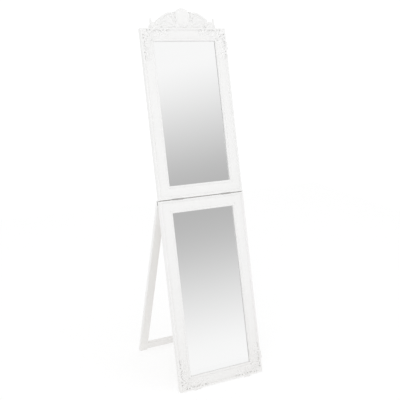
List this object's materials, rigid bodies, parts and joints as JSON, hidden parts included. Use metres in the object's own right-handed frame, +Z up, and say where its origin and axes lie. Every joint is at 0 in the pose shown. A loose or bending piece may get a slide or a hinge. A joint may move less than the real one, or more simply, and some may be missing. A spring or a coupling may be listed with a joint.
{
  "type": "folding floor mirror",
  "caption": "Tall free-standing floor mirror: two framed mirrors with carved corner and crest ornament, joined by a fold hinge, leaning on a hinged rear leg frame.",
  "frame": {"origin": "on the floor, under the middle of the object's box", "axes": "X runs across the mirror, -Y is the front that the glass faces, +Z is up"},
  "size_m": [0.45, 0.5064, 1.7451],
  "materials": {
    "painted_wood": "warm white satin paint over carved wood",
    "mirror_glass": "silvered float glass",
    "card": "grey-brown lining card",
    "fibreboard": "smooth grey-beige hardboard",
    "steel": "bright zinc plating",
    "lacquered_steel": "grey lacquer",
    "rubber": "soft black rubber",
    "felt": "grey wool felt",
    "dowel_wood": "raw beech"
  },
  "bodies": {
    "lower_panel": {"lower_left_stile": "painted_wood", "lower_right_stile": "painted_wood", "lower_top_rail": "painted_wood", "lower_bottom_rail": "painted_wood", "lower_mirror": "mirror_glass", "lower_card_liner": "card", "lower_backing_board": "fibreboard", "lower_framers_points": "steel", "lower_corner_dowels": "dowel_wood", "lower_left_ornament": "painted_wood", "lower_right_ornament": "painted_wood", "seam_felts": "felt", "fold_hinge_left_lower_leaf": "lacquered_steel", "fold_hinge_right_lower_leaf": "lacquered_steel", "fold_hinge_left_pin": "lacquered_steel", "fold_hinge_right_pin": "lacquered_steel", "fold_hinge_lower_screws": "steel", "leg_hinge_left_panel_leaf": "steel", "leg_hinge_right_panel_leaf": "steel", "leg_hinge_left_pin": "steel", "leg_hinge_right_pin": "steel", "leg_hinge_panel_screws": "steel"},
    "upper_panel": {"upper_left_stile": "painted_wood", "upper_right_stile": "painted_wood", "upper_top_rail": "painted_wood", "upper_bottom_rail": "painted_wood", "upper_mirror": "mirror_glass", "upper_card_liner": "card", "upper_backing_board": "fibreboard", "upper_framers_points": "steel", "upper_corner_dowels": "dowel_wood", "upper_left_ornament": "painted_wood", "upper_right_ornament": "painted_wood", "crest_board": "painted_wood", "crest_shell": "painted_wood", "crest_left_scroll": "painted_wood", "crest_right_scroll": "painted_wood", "crest_dowels": "dowel_wood", "fold_hinge_left_upper_leaf": "lacquered_steel", "fold_hinge_right_upper_leaf": "lacquered_steel", "fold_hinge_upper_screws": "steel"},
    "leg_frame": {"leg_hinge_left_leg_leaf": "steel", "leg_hinge_right_leg_leaf": "steel", "leg_hinge_leg_screws": "steel", "leg_left_stile": "painted_wood", "leg_right_stile": "painted_wood", "leg_top_rail": "painted_wood", "leg_bottom_rail": "painted_wood", "leg_dowels": "dowel_wood", "leg_stop_pads": "rubber"}
  },
  "joints": [
    {"name": "upper_fold", "type": "hinge", "parent": "lower_panel", "child": "upper_panel", "pos_m": [0, -0.01902, 0.87597], "axis": [1, 0, 0], "range_deg": [0, 179]},
    {"name": "leg_fold", "type": "hinge", "parent": "lower_panel", "child": "leg_frame", "pos_m": [0, 0.00362, 0.84454], "axis": [-1, 0, 0], "range_deg": [0, 30]}
  ]
}
